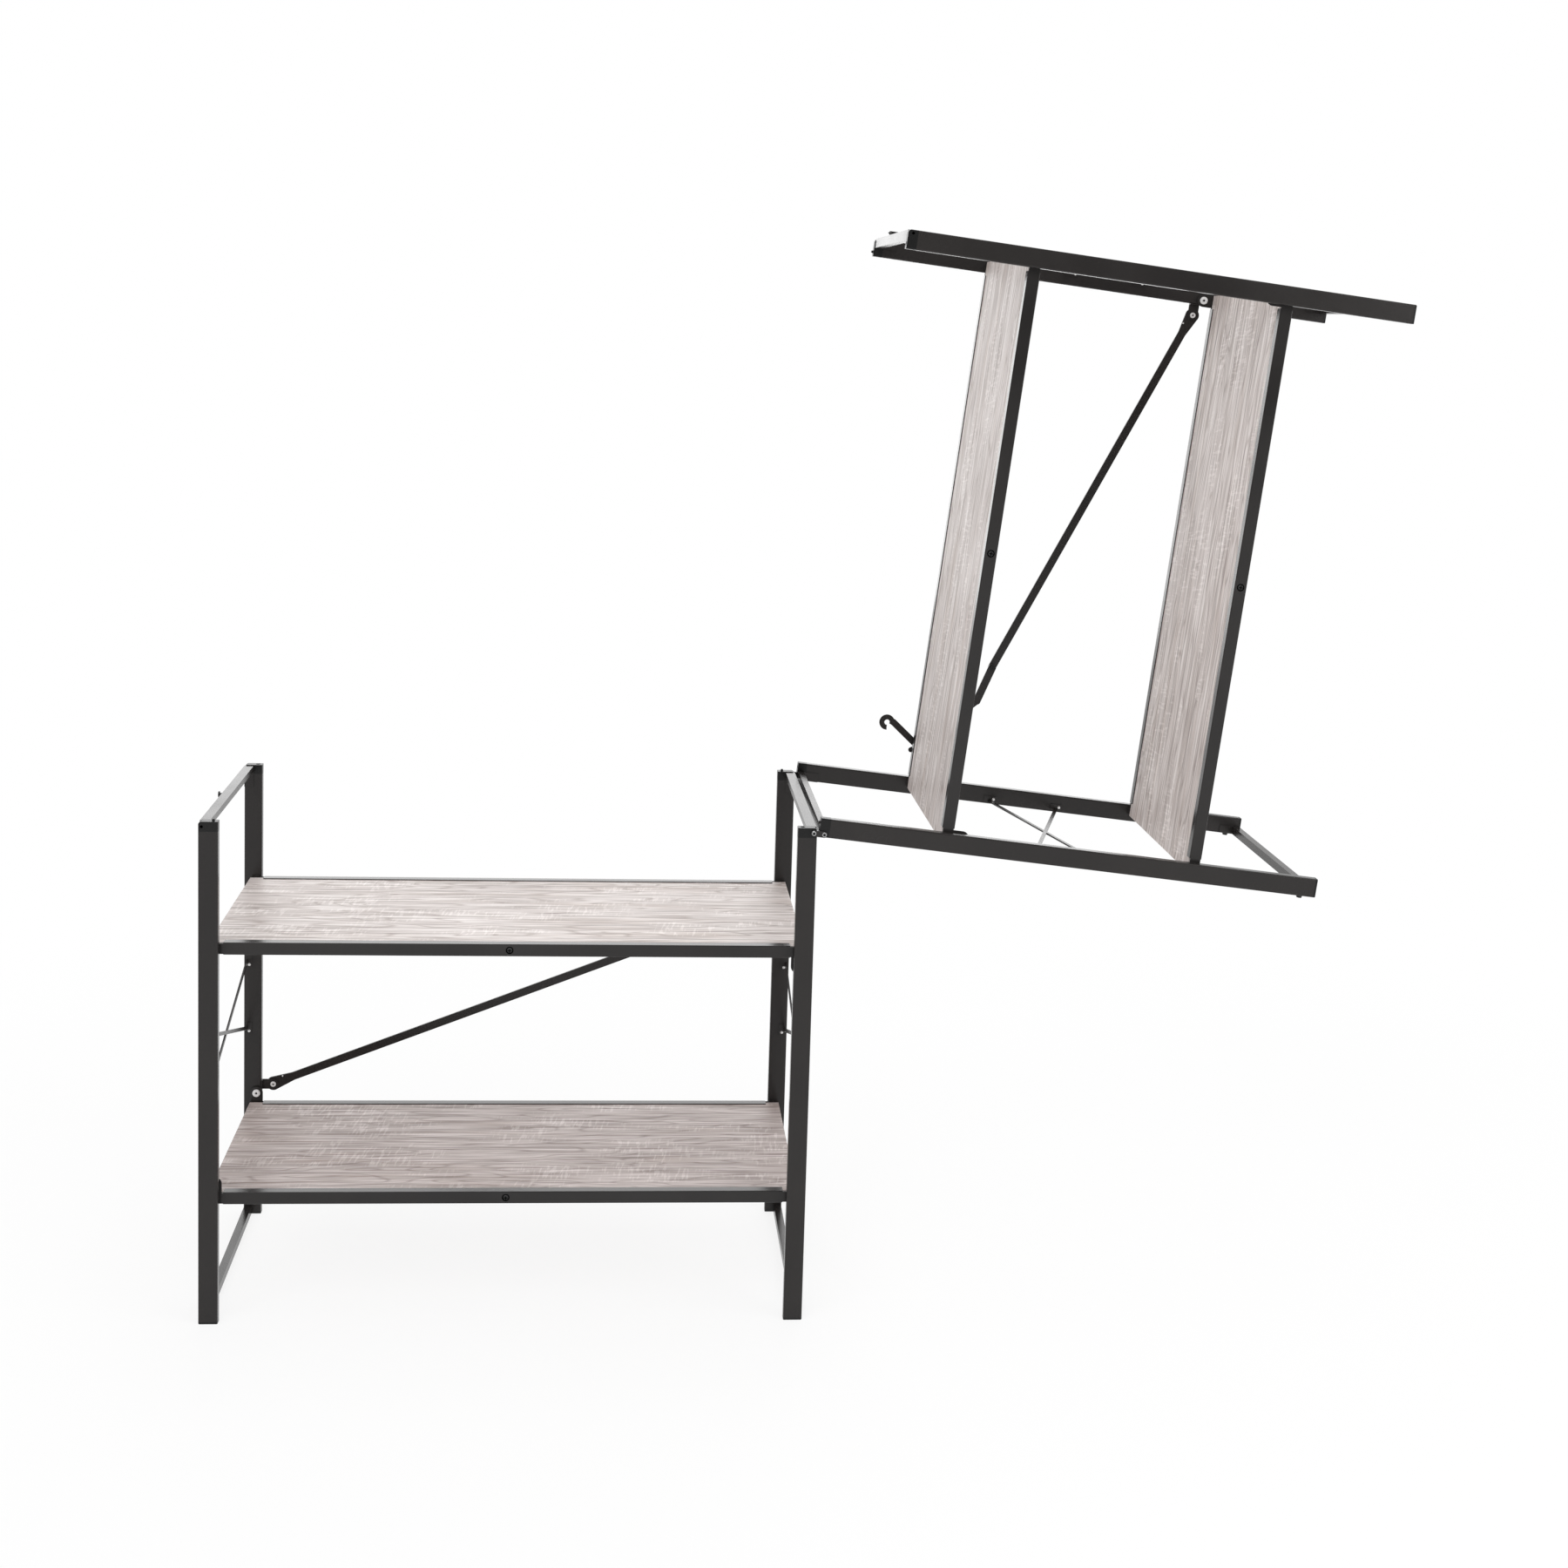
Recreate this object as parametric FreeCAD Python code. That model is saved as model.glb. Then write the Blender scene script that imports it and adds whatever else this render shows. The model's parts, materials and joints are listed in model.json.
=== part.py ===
import FreeCAD, Part
import math
import os
from FreeCAD import Vector

# One unit is two end frames joined by two shelves. The rack is two such units.
unit_width = 728.0
unit_height = 616.0
unit_depth = 330.0
swing_angle = 96.5
mating_gap = 0.6

# Tubular posts and their end caps
post_width = 23.0
post_depth = 12.0
post_wall = 1.2
post_round = 1.6
cap_height = 12.0
foot_height = 2.6
cap_plug = 14.0
plug_clearance = 0.1
cap_round = 4.0
foot_round = 1.5
peg_inset = 17.0
peg_base = 2.0
peg_tip = 1.3
peg_height = 2.4
socket_radius = 2.9
socket_depth = 3.0

# Bars and crossed strips of an end frame
thin_bar_width = 12.0
thin_bar_height = 8.0
foot_bar_size = 10.0
bar_wall = 1.0
bar_inset = 1.0
flange_sheet = 1.2
flange_length = 28.0
strip_width = 4.6
strip_thickness = 2.0
strip_inset = 3.0
strip_low_share = 0.42
strip_high_share = 0.57
strip_pad_length = 16.0
strip_pad_width = 8.0

# Shelf boards and the steel rails along their edges
board_thickness = 12.6
rail_sheet = 1.2
lip_depth = 12.0
rail_round = 1.0
lip_end_inset = 27.0
board_inset = 9.0
board_edge_gap = 3.5
bottom_rail_middle = 151.5
shelf_spacing = 308.0

# Shelf pivots, set off from the rails so that the shelves lie side by side when folded
pivot_inset = 17.0
pivot_offset = 18.0
ear_radius = 8.5
rail_gap = 1.5
rivet_radius = 2.5
rivet_shoulder = 4.2
rivet_head = 5.0
rivet_head_height = 1.6
side_play = 0.1
hole_play = 0.08
open_play = 0.3

# Screws that hold the rails to the boards
screw_radius = 1.6
screw_head = 3.3
screw_head_top = 2.3
screw_head_height = 1.2
screw_depth = 12.0
screw_play = 0.05

# Hinge between the two units
hinge_inset = 4.0
hinge_height = 6.0
link_radius = 3.7
link_thickness = 2.0
link_gap = 0.2
pin_radius = 1.75
pin_head = 3.1
pin_head_height = 1.2
pin_length = 9.0

# Latch between the left ends of the two units
latch_reach = 22.0
latch_plate = 1.5
latch_lift = 1.9
latch_width = 7.0
latch_eye = 5.5
latch_head = 6.2
stud_neck = 2.0
stud_head = 4.0
stud_head_height = 1.4
stud_length = 4.6
stud_root = 3.0
hook_play = 0.35
mouth_flare = 0.9

# Rubber bumpers on the outer face of the swinging unit
bumper_base = 4.0
bumper_tip = 3.0
bumper_height = 3.0
bumper_inset = 18.0

# Diagonal brace behind the shelves
brace_start_reach = 15.0
brace_start_height = 179.0
brace_width = 10.6
brace_thickness = 2.4
brace_sheet = 1.2
brace_eye = 9.2
brace_taper = 28.0
layer_gap = 0.2
tab_thickness = 1.6
brace_inset = 2.4
tab_half_height = 6.8
catch_reach = 12.5
catch_height = 431.5
brace_rivet_radius = 2.5
brace_rivet_head = 3.6
brace_rivet_head_height = 1.2
hook_length = 160.0
hook_thickness = 2.0
hook_arm_width = 7.0
hook_eye = 8.4
hook_head = 9.4
hook_mouth_depth = 11.0
hook_bend_share = 0.244
hook_bend_drop = 31.0
hook_knee_share = 0.86
hook_knee_drop = 50.0
lobe_radius = 5.5
lobe_back = 9.5
lobe_drop = 7.0
catch_radius = 3.0
catch_head = 4.8
catch_head_height = 1.4
finger_width = 7.0
finger_length = 7.0
finger_rise = 3.8
lower_hook_rest = 8.0
upper_hook_rest = 33.7

overrun = 5.0

# Derived levels of one unit
rail_half = board_thickness / 2 + rail_sheet
top_rail_middle = bottom_rail_middle + shelf_spacing
web_start = post_depth + rail_gap
web_end = web_start + rail_sheet
board_start = web_end + board_edge_gap
thin_bar_low = unit_height - bar_inset - thin_bar_height
thin_bar_middle = thin_bar_low + thin_bar_height / 2
brace_rear = unit_depth - brace_inset
brace_front = brace_rear - brace_thickness
hook_rear = brace_front - layer_gap
hook_front = hook_rear - hook_thickness
tab_front = hook_rear - tab_thickness
tab_rear = tab_front + tab_thickness
brace_start = (post_width + brace_start_reach, brace_start_height)
catch = (unit_width - post_width - catch_reach, catch_height)
brace_turn = math.atan2(catch[1] - brace_start[1], catch[0] - brace_start[0])
brace_angle = math.degrees(brace_turn)
brace_length = math.hypot(catch[0] - brace_start[0], catch[1] - brace_start[1]) - hook_length
brace_end_x = brace_start[0] + brace_length * math.cos(brace_turn)
brace_end_z = brace_start[1] + brace_length * math.sin(brace_turn)
brace_end = (brace_end_x, brace_end_z)
hinge_low = (unit_width - hinge_inset, unit_height - hinge_height)
hinge_pitch = hinge_height + mating_gap + hinge_height
left_pivots = (bottom_rail_middle + pivot_offset, top_rail_middle)
right_pivots = (bottom_rail_middle, top_rail_middle - pivot_offset)


def box(x0, x1, y0, y1, z0, z1):
    return Part.makeBox(x1 - x0, y1 - y0, z1 - z0, Vector(x0, y0, z0))


def rod_x(y, z, radius, x0, x1):
    return Part.makeCylinder(radius, x1 - x0, Vector(x0, y, z), Vector(1, 0, 0))


def rod_y(x, z, radius, y0, y1):
    return Part.makeCylinder(radius, y1 - y0, Vector(x, y0, z), Vector(0, 1, 0))


def rod_z(x, y, radius, z0, z1):
    return Part.makeCylinder(radius, z1 - z0, Vector(x, y, z0))


def plate_y(points, y0, y1):
    corners = [Vector(x, y0, z) for x, z in points]
    outline = Part.makePolygon(corners + corners[:1])
    return Part.Face(outline).extrude(Vector(0, y1 - y0, 0))


def slot_y(start, end, radius, y0, y1):
    run = math.hypot(end[0] - start[0], end[1] - start[1])
    ends = rod_y(start[0], start[1], radius, y0, y1)
    if run == 0:
        return ends
    side_x = (end[1] - start[1]) / run * radius
    side_z = (end[0] - start[0]) / run * radius
    points = [(start[0] - side_x, start[1] + side_z)]
    points.append((end[0] - side_x, end[1] + side_z))
    points.append((end[0] + side_x, end[1] - side_z))
    points.append((start[0] + side_x, start[1] - side_z))
    ends = ends.fuse(rod_y(end[0], end[1], radius, y0, y1))
    return ends.fuse(plate_y(points, y0, y1)).removeSplitter()


def rounded(shape, radius, keep):
    edges = [edge for edge in shape.Edges if keep(edge)]
    return shape.makeFillet(radius, edges)


def upright(edge):
    first = edge.Vertexes[0].Point
    last = edge.Vertexes[-1].Point
    return abs(first.x - last.x) + abs(first.y - last.y) < side_play


def across(shape):
    return shape.mirror(Vector(unit_width / 2, 0, 0), Vector(1, 0, 0))


def rearward(shape):
    return shape.mirror(Vector(0, unit_depth / 2, 0), Vector(0, 1, 0))


def flipped(shape):
    return shape.mirror(Vector(0, 0, unit_height / 2), Vector(0, 0, 1))


def swung(shape):
    turned = shape.copy()
    turned.rotate(Vector(hinge_low[0], 0, hinge_low[1]), Vector(0, 1, 0), swing_angle)
    return turned


def upper_place(shape):
    raised = flipped(shape)
    raised.translate(Vector(0, 0, unit_height + mating_gap))
    return swung(raised)


def lower_place(shape):
    return shape.copy()


def post():
    outer = box(0, post_width, 0, post_depth, foot_height, unit_height - cap_height)
    outer = rounded(outer, post_round, upright)
    x_end = post_width - post_wall
    y_end = post_depth - post_wall
    inner = box(post_wall, x_end, post_wall, y_end, 0, unit_height)
    return outer.cut(inner)


def cap(mating, peg):
    seam = unit_height - (cap_height if mating else foot_height)
    block = box(0, post_width, 0, post_depth, seam, unit_height)
    block = rounded(block, post_round, upright)
    outer_round = cap_round if mating else foot_round
    corner = box(-overrun, outer_round, -overrun, post_depth + overrun, unit_height - outer_round, unit_height)
    corner = corner.cut(rod_y(outer_round, unit_height - outer_round, outer_round, -overrun, post_depth + overrun))
    block = block.cut(corner)
    inset = post_wall + plug_clearance
    block = block.fuse(box(inset, post_width - inset, inset, post_depth - inset, seam - cap_plug, seam))
    if not mating:
        return block
    hole_radius = pin_radius + hole_play
    block = block.cut(rod_y(hinge_inset, unit_height - hinge_height, hole_radius, -overrun, post_depth + overrun))
    middle = post_depth / 2
    if peg:
        cone = Part.makeCone(peg_base, peg_tip, peg_height, Vector(peg_inset, middle, unit_height))
        return block.fuse(cone)
    return block.cut(rod_z(peg_inset, middle, socket_radius, unit_height - socket_depth, unit_height + overrun))


def bar(x0, width, z0, height, upward):
    y_end = unit_depth - post_depth
    tube = box(x0, x0 + width, post_depth, y_end, z0, z0 + height)
    hollow = box(x0 + bar_wall, x0 + width - bar_wall, 0, unit_depth, z0 + bar_wall, z0 + height - bar_wall)
    tube = tube.cut(hollow)
    flange_low = z0 if upward else z0 + height - flange_length
    flange = box(x0, x0 + width, post_depth, post_depth + flange_sheet, flange_low, flange_low + flange_length)
    return tube.fuse([flange, rearward(flange)]).removeSplitter()


def cross_brace():
    low = unit_height * strip_low_share
    high = unit_height * strip_high_share
    y_start = post_depth + flange_sheet
    y_end = unit_depth - y_start
    slope = math.hypot(y_end - y_start, high - low)
    rise = strip_width / 2 * slope / (y_end - y_start)
    corners = [Vector(strip_inset, y_start, low - rise)]
    corners.append(Vector(strip_inset, y_end, high - rise))
    corners.append(Vector(strip_inset, y_end, high + rise))
    corners.append(Vector(strip_inset, y_start, low + rise))
    strip = Part.Face(Part.makePolygon(corners + corners[:1])).extrude(Vector(strip_thickness, 0, 0))
    pads = []
    half = strip_pad_length / 2
    pad_x = strip_inset + strip_pad_width
    for height in (low, high):
        pad = box(strip_inset, pad_x, post_depth, y_start, height - half, height + half)
        pads.append(pad)
        pads.append(rearward(pad))
    return strip.fuse([rearward(strip)] + pads).removeSplitter()


def shoulder_rivet(height):
    body = rod_y(pivot_inset, height, rivet_radius, post_depth, web_end + side_play)
    shoulder = rod_y(pivot_inset, height, rivet_shoulder, post_depth, web_start - side_play)
    head_start = web_end + side_play
    head = rod_y(pivot_inset, height, rivet_head, head_start, head_start + rivet_head_height)
    return body.fuse([shoulder, head]).removeSplitter()


def end_frame(pivots, front_peg, left):
    side = lower_place if left else across
    pieces = {}
    front = post()
    pieces["front_post"] = side(front)
    pieces["rear_post"] = side(rearward(front))
    foot = flipped(cap(False, False))
    caps = [foot, rearward(foot), cap(True, front_peg), rearward(cap(True, not front_peg))]
    pieces["end_caps"] = side(Part.makeCompound(caps))
    thin_bar = bar(0, thin_bar_width, thin_bar_low, thin_bar_height, False)
    pieces["thin_bar"] = side(thin_bar)
    foot_bar = bar(bar_inset, foot_bar_size, bar_inset, foot_bar_size, True)
    pieces["foot_bar"] = side(foot_bar)
    pieces["cross_brace"] = side(cross_brace())
    rivets = []
    for height in pivots:
        rivet = shoulder_rivet(height)
        rivets.append(rivet)
        rivets.append(rearward(rivet))
    pieces["pivot_rivets"] = side(Part.makeCompound(rivets))
    return pieces


def along_x_front(edge):
    first = edge.Vertexes[0].Point
    last = edge.Vertexes[-1].Point
    return abs(first.x - last.x) > post_width and first.y < web_end


def rail(middle, left_height, right_height, left_play, right_play):
    low = middle - rail_half
    high = middle + rail_half
    lip_right = unit_width - lip_end_inset
    channel = box(lip_end_inset, lip_right, web_start, web_start + lip_depth, low, high)
    channel = rounded(channel, rail_round, along_x_front)
    inside = box(0, unit_width, web_end, unit_depth, low + rail_sheet, high - rail_sheet)
    channel = channel.cut(inside)
    web_right = unit_width - pivot_inset
    web = box(pivot_inset, web_right, web_start, web_end, low + rail_round, high - rail_round)
    left_ear = slot_y((pivot_inset, middle), (pivot_inset, left_height), ear_radius, web_start, web_end)
    right_ear = slot_y((web_right, middle), (web_right, right_height), ear_radius, web_start, web_end)
    whole = channel.fuse([web, left_ear, right_ear]).removeSplitter()
    whole = whole.cut(rod_y(pivot_inset, left_height, rivet_radius + left_play, 0, unit_depth))
    whole = whole.cut(rod_y(web_right, right_height, rivet_radius + right_play, 0, unit_depth))
    return whole.cut(rod_y(unit_width / 2, middle, screw_radius + screw_play, 0, unit_depth))


def rail_screw(middle):
    centre = unit_width / 2
    head_end = Vector(centre, web_start, middle)
    head = Part.makeCone(screw_head, screw_head_top, screw_head_height, head_end, Vector(0, -1, 0))
    shank = rod_y(centre, middle, screw_radius, web_start, board_start + screw_depth)
    return head.fuse(shank)


def shelf(middle, left_height, right_height, left_play, right_play):
    pieces = {}
    board_end = unit_depth - board_start
    half = board_thickness / 2
    board = box(board_inset, unit_width - board_inset, board_start, board_end, middle - half, middle + half)
    hole_end = board_start + screw_depth
    hole = rod_y(unit_width / 2, middle, screw_radius + screw_play, 0, hole_end)
    board = board.cut(hole)
    pieces["board"] = board.cut(rearward(hole))
    front = rail(middle, left_height, right_height, left_play, right_play)
    pieces["front_rail"] = front
    pieces["rear_rail"] = rearward(front)
    screw = rail_screw(middle)
    pieces["rail_screws"] = Part.makeCompound([screw, rearward(screw)])
    return pieces


def bracket(point, front):
    flange_end = post_width + flange_sheet
    rear = front + tab_thickness
    low = point[1] - tab_half_height
    high = point[1] + tab_half_height
    flange = box(post_width, flange_end, unit_depth - post_depth, rear, low, high)
    tab = box(post_width, point[0], front, rear, low, high)
    tip = rod_y(point[0], point[1], tab_half_height, front, rear)
    return flange.fuse([tab, tip]).removeSplitter()


def brace_bracket():
    hole = rod_y(brace_start[0], brace_start[1], brace_rivet_radius + hole_play, 0, unit_depth)
    return bracket(brace_start, tab_front).cut(hole)


def brace_catch():
    plate = across(bracket((unit_width - catch[0], catch[1]), brace_front))
    neck = rod_y(catch[0], catch[1], catch_radius, hook_front - side_play, brace_front)
    head_end = hook_front - side_play
    head = rod_y(catch[0], catch[1], catch_head, head_end - catch_head_height, head_end)
    return plate.fuse([neck, head]).removeSplitter()


def brace_bar():
    x0 = brace_start[0]
    z0 = brace_start[1]
    x1 = x0 + brace_length
    half = brace_width / 2
    strap = box(x0, x1, brace_front, brace_rear, z0 - half, z0 + half)
    edge = half - brace_sheet
    groove_start = x0 + brace_taper
    groove_end = x1 - brace_taper
    groove = box(groove_start, groove_end, brace_front + brace_sheet, unit_depth, z0 - edge, z0 + edge)
    strap = strap.cut(groove)
    flats = []
    for x, inner, eye in ((x0, groove_start, brace_eye), (x1, groove_end, half)):
        flats.append(rod_y(x, z0, eye, brace_front, brace_rear))
        taper = [(x, z0 - eye), (x, z0 + eye), (inner, z0 + half), (inner, z0 - half)]
        flats.append(plate_y(taper, brace_front, brace_rear))
    strap = strap.fuse(flats).removeSplitter()
    for x in (x0, x1):
        strap = strap.cut(rod_y(x, z0, brace_rivet_radius + screw_play, 0, unit_depth))
    strap.rotate(Vector(x0, 0, z0), Vector(0, 1, 0), -brace_angle)
    return strap


def brace_rivet(point, body_front, body_rear):
    head_front = body_front - side_play
    head_rear = body_rear + side_play
    shank = rod_y(point[0], point[1], brace_rivet_radius, head_front, head_rear)
    near = rod_y(point[0], point[1], brace_rivet_head, head_front - brace_rivet_head_height, head_front)
    far = rod_y(point[0], point[1], brace_rivet_head, head_rear, head_rear + brace_rivet_head_height)
    return shank.fuse([near, far]).removeSplitter()


def brace_hook(rest):
    x0 = brace_end[0]
    z0 = brace_end[1]
    x1 = x0 + hook_length
    half = hook_arm_width / 2
    bend = (x0 + hook_length * hook_bend_share, z0 - hook_bend_drop)
    knee = (x0 + hook_length * hook_knee_share, z0 - hook_knee_drop)
    lobe = (x1 - lobe_back, z0 - lobe_drop)
    hook = slot_y((x0, z0), bend, half, hook_front, hook_rear)
    hook = hook.fuse(slot_y(bend, knee, half, hook_front, hook_rear))
    hook = hook.fuse(slot_y(knee, lobe, half, hook_front, hook_rear))
    finger_end = (knee[0] + finger_length, knee[1] + finger_rise)
    hook = hook.fuse(slot_y(knee, finger_end, finger_width / 2, hook_front, hook_rear))
    hook = hook.fuse(rod_y(lobe[0], lobe[1], lobe_radius, hook_front, hook_rear))
    hook = hook.fuse(rod_y(x0, z0, hook_eye, hook_front, hook_rear))
    hook = hook.fuse(rod_y(x1, z0, hook_head, hook_front, hook_rear))
    wide = catch_radius + hook_play
    mouth = [(x1 - wide, z0), (x1 + wide, z0)]
    mouth.append((x1 + wide + mouth_flare, z0 - hook_mouth_depth))
    mouth.append((x1 - wide - mouth_flare, z0 - hook_mouth_depth))
    hook = hook.cut(plate_y(mouth, 0, unit_depth))
    hook = hook.cut(rod_y(x1, z0, wide, 0, unit_depth))
    hook = hook.cut(rod_y(x0, z0, brace_rivet_radius + hole_play, 0, unit_depth)).removeSplitter()
    hook.rotate(Vector(x0, 0, z0), Vector(0, 1, 0), -brace_angle - rest)
    return hook


def brace_parts(rest):
    pieces = {}
    pieces["brace_bracket"] = brace_bracket()
    pieces["brace_catch"] = brace_catch()
    pieces["brace_bar"] = brace_bar()
    first = brace_rivet(brace_start, tab_front, brace_rear)
    second = brace_rivet(brace_end, hook_front, brace_rear)
    pieces["brace_rivets"] = Part.makeCompound([first, second])
    pieces["brace_hook"] = brace_hook(rest)
    return pieces


def latch_stud():
    middle = unit_depth / 2
    neck = rod_x(middle, thin_bar_middle, stud_neck, -stud_length, stud_root)
    head = rod_x(middle, thin_bar_middle, stud_head, -stud_length - stud_head_height, -stud_length)
    return neck.fuse(head).removeSplitter()


def latch_hook():
    pivot_y = unit_depth / 2 + latch_reach
    drop = 2 * (unit_height - thin_bar_middle) + mating_gap
    reach = math.hypot(latch_reach, drop)
    x0 = -latch_lift - latch_plate
    x1 = -latch_lift
    tip_y = pivot_y - reach
    half = latch_width / 2
    hook = box(x0, x1, tip_y, pivot_y, thin_bar_middle - half, thin_bar_middle + half)
    hook = hook.fuse(rod_x(pivot_y, thin_bar_middle, latch_eye, x0, x1))
    hook = hook.fuse(rod_x(tip_y, thin_bar_middle, latch_head, x0, x1)).removeSplitter()
    wide = stud_neck + hook_play
    hook = hook.cut(rod_x(tip_y, thin_bar_middle, wide, x0, x1))
    mouth_top = thin_bar_middle + latch_head + side_play
    corners = [Vector(x0, tip_y - wide, thin_bar_middle), Vector(x0, tip_y + wide, thin_bar_middle)]
    corners.append(Vector(x0, tip_y + wide + mouth_flare, mouth_top))
    corners.append(Vector(x0, tip_y - wide - mouth_flare, mouth_top))
    mouth = Part.Face(Part.makePolygon(corners + corners[:1])).extrude(Vector(latch_plate, 0, 0))
    hook = hook.cut(mouth)
    return hook.cut(rod_x(pivot_y, thin_bar_middle, stud_neck + hole_play, x0, x1))


def latch_rivet():
    pivot_y = unit_depth / 2 + latch_reach
    x_head = -latch_lift - latch_plate - side_play
    shank = rod_x(pivot_y, thin_bar_middle, stud_neck, x_head, stud_root)
    head = rod_x(pivot_y, thin_bar_middle, stud_head, x_head - stud_head_height, x_head)
    spacer = rod_x(pivot_y, thin_bar_middle, stud_head, side_play - latch_lift, 0)
    return shank.fuse([head, spacer]).removeSplitter()


def bumper():
    centre = Vector(unit_width, post_depth / 2, bumper_inset)
    return Part.makeCone(bumper_base, bumper_tip, bumper_height, centre, Vector(1, 0, 0))


def hinge_link():
    top = (hinge_low[0], hinge_low[1] + hinge_pitch)
    front = -link_gap - link_thickness
    plate = slot_y(hinge_low, top, link_radius, front, -link_gap)
    for point in (hinge_low, top):
        plate = plate.cut(rod_y(point[0], point[1], pin_radius + screw_play, -unit_depth, 0))
    return plate


def hinge_pin(height):
    front = -link_gap - link_thickness
    head_end = Vector(hinge_low[0], front, height)
    head = Part.makeCone(pin_head, pin_head - post_wall, pin_head_height, head_end, Vector(0, -1, 0))
    return head.fuse(rod_y(hinge_low[0], height, pin_radius, front, pin_length)).removeSplitter()


nodes = {}
unit_plans = {}
unit_plans["lower"] = (lower_place, "top_bar", "bottom_bar", lower_hook_rest)
unit_plans["upper"] = (upper_place, "bottom_bar", "top_bar", upper_hook_rest)
for unit, (place, thin_name, foot_name, rest) in unit_plans.items():
    is_lower = unit == "lower"
    side_plans = [("left", left_pivots, is_lower), ("right", right_pivots, not is_lower)]
    for side_name, pivots, front_peg in side_plans:
        pieces = end_frame(pivots, front_peg, side_name == "left")
        pieces[thin_name] = pieces.pop("thin_bar")
        pieces[foot_name] = pieces.pop("foot_bar")
        if unit == "lower" and side_name == "left":
            hole = rod_x(unit_depth / 2, thin_bar_middle, stud_neck + screw_play, -overrun, bar_wall)
            pieces[thin_name] = pieces[thin_name].cut(hole)
        if unit == "upper" and side_name == "left":
            hole_y = unit_depth / 2 + latch_reach
            hole = rod_x(hole_y, thin_bar_middle, stud_neck + screw_play, -overrun, bar_wall)
            pieces[thin_name] = pieces[thin_name].cut(hole)
        for name, shape in pieces.items():
            nodes[unit + "_" + side_name + "_" + name] = place(shape)
    for name, shape in brace_parts(rest).items():
        nodes[unit + "_" + name] = place(shape)

low_left, high_left = left_pivots
low_right, high_right = right_pivots
shelf_plans = [("bottom_shelf", lower_place, bottom_rail_middle, low_left, low_right, hole_play, hole_play)]
shelf_plans.append(("second_shelf", lower_place, top_rail_middle, high_left, high_right, hole_play, open_play))
shelf_plans.append(("third_shelf", upper_place, top_rail_middle, high_left, high_right, hole_play, hole_play))
shelf_plans.append(("top_shelf", upper_place, bottom_rail_middle, low_left, low_right, open_play, hole_play))
for shelf_name, place, middle, left_height, right_height, left_play, right_play in shelf_plans:
    for name, shape in shelf(middle, left_height, right_height, left_play, right_play).items():
        nodes[shelf_name + "_" + name] = place(shape)

links = [hinge_link(), rearward(hinge_link())]
nodes["hinge_links"] = swung(Part.makeCompound(links))
pins = []
for pin_z in (hinge_low[1], hinge_low[1] + hinge_pitch):
    pins.append(hinge_pin(pin_z))
    pins.append(rearward(hinge_pin(pin_z)))
nodes["hinge_rivets"] = swung(Part.makeCompound(pins))
nodes["latch_stud"] = latch_stud()
nodes["latch_hook"] = upper_place(latch_hook())
nodes["latch_rivet"] = upper_place(latch_rivet())
nodes["bumpers"] = upper_place(Part.makeCompound([bumper(), rearward(bumper())]))

bounds = FreeCAD.BoundBox()
for shape in nodes.values():
    bounds.add(shape.optimalBoundingBox(False))
shift = Vector(-bounds.Center.x, -bounds.Center.y, -bounds.ZMin)
os.makedirs("parts", exist_ok=True)
for name, shape in nodes.items():
    shape.translate(shift)
    shape.exportStep("parts/" + name + ".step")
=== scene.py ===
import json
import math

import bmesh
import bpy
from mathutils import Matrix, Vector


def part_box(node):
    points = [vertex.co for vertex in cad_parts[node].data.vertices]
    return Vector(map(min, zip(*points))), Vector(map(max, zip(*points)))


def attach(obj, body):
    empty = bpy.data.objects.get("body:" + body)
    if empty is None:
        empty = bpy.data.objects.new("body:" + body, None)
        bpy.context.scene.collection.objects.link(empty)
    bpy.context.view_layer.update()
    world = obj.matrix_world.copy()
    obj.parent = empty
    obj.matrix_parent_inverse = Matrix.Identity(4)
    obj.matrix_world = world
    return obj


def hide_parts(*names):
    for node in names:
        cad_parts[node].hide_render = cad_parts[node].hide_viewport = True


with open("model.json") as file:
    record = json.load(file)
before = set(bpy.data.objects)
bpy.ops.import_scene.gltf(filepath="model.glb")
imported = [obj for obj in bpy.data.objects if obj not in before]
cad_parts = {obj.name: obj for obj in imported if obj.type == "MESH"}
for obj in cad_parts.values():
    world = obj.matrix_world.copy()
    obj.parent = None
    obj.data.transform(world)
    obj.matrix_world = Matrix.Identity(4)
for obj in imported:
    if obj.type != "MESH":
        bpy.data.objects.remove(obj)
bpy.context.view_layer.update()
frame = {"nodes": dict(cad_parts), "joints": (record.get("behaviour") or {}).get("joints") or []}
nodes = frame["nodes"]
joints = {joint["name"]: joint for joint in frame["joints"]}

MM = 0.001

# Fittings that the solids leave out
SCREW_RADIUS = 1.9 * MM
SCREW_HEIGHT = 0.9 * MM
PAD_MIDDLE = 7.0 * MM
PAD_FACE = 13.2 * MM
STRIP_SHARES = (0.42, 0.57)
DOME_SEGMENTS = 20
DOME_RINGS = DOME_SEGMENTS // 2
ROUND_STEPS = 2 * DOME_SEGMENTS
SKIN = 0.03 * MM
SHARP_ANGLE = math.radians(35)
CUT_TOLERANCE = 1e-7
MERGE_DISTANCE = 1e-6

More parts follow.
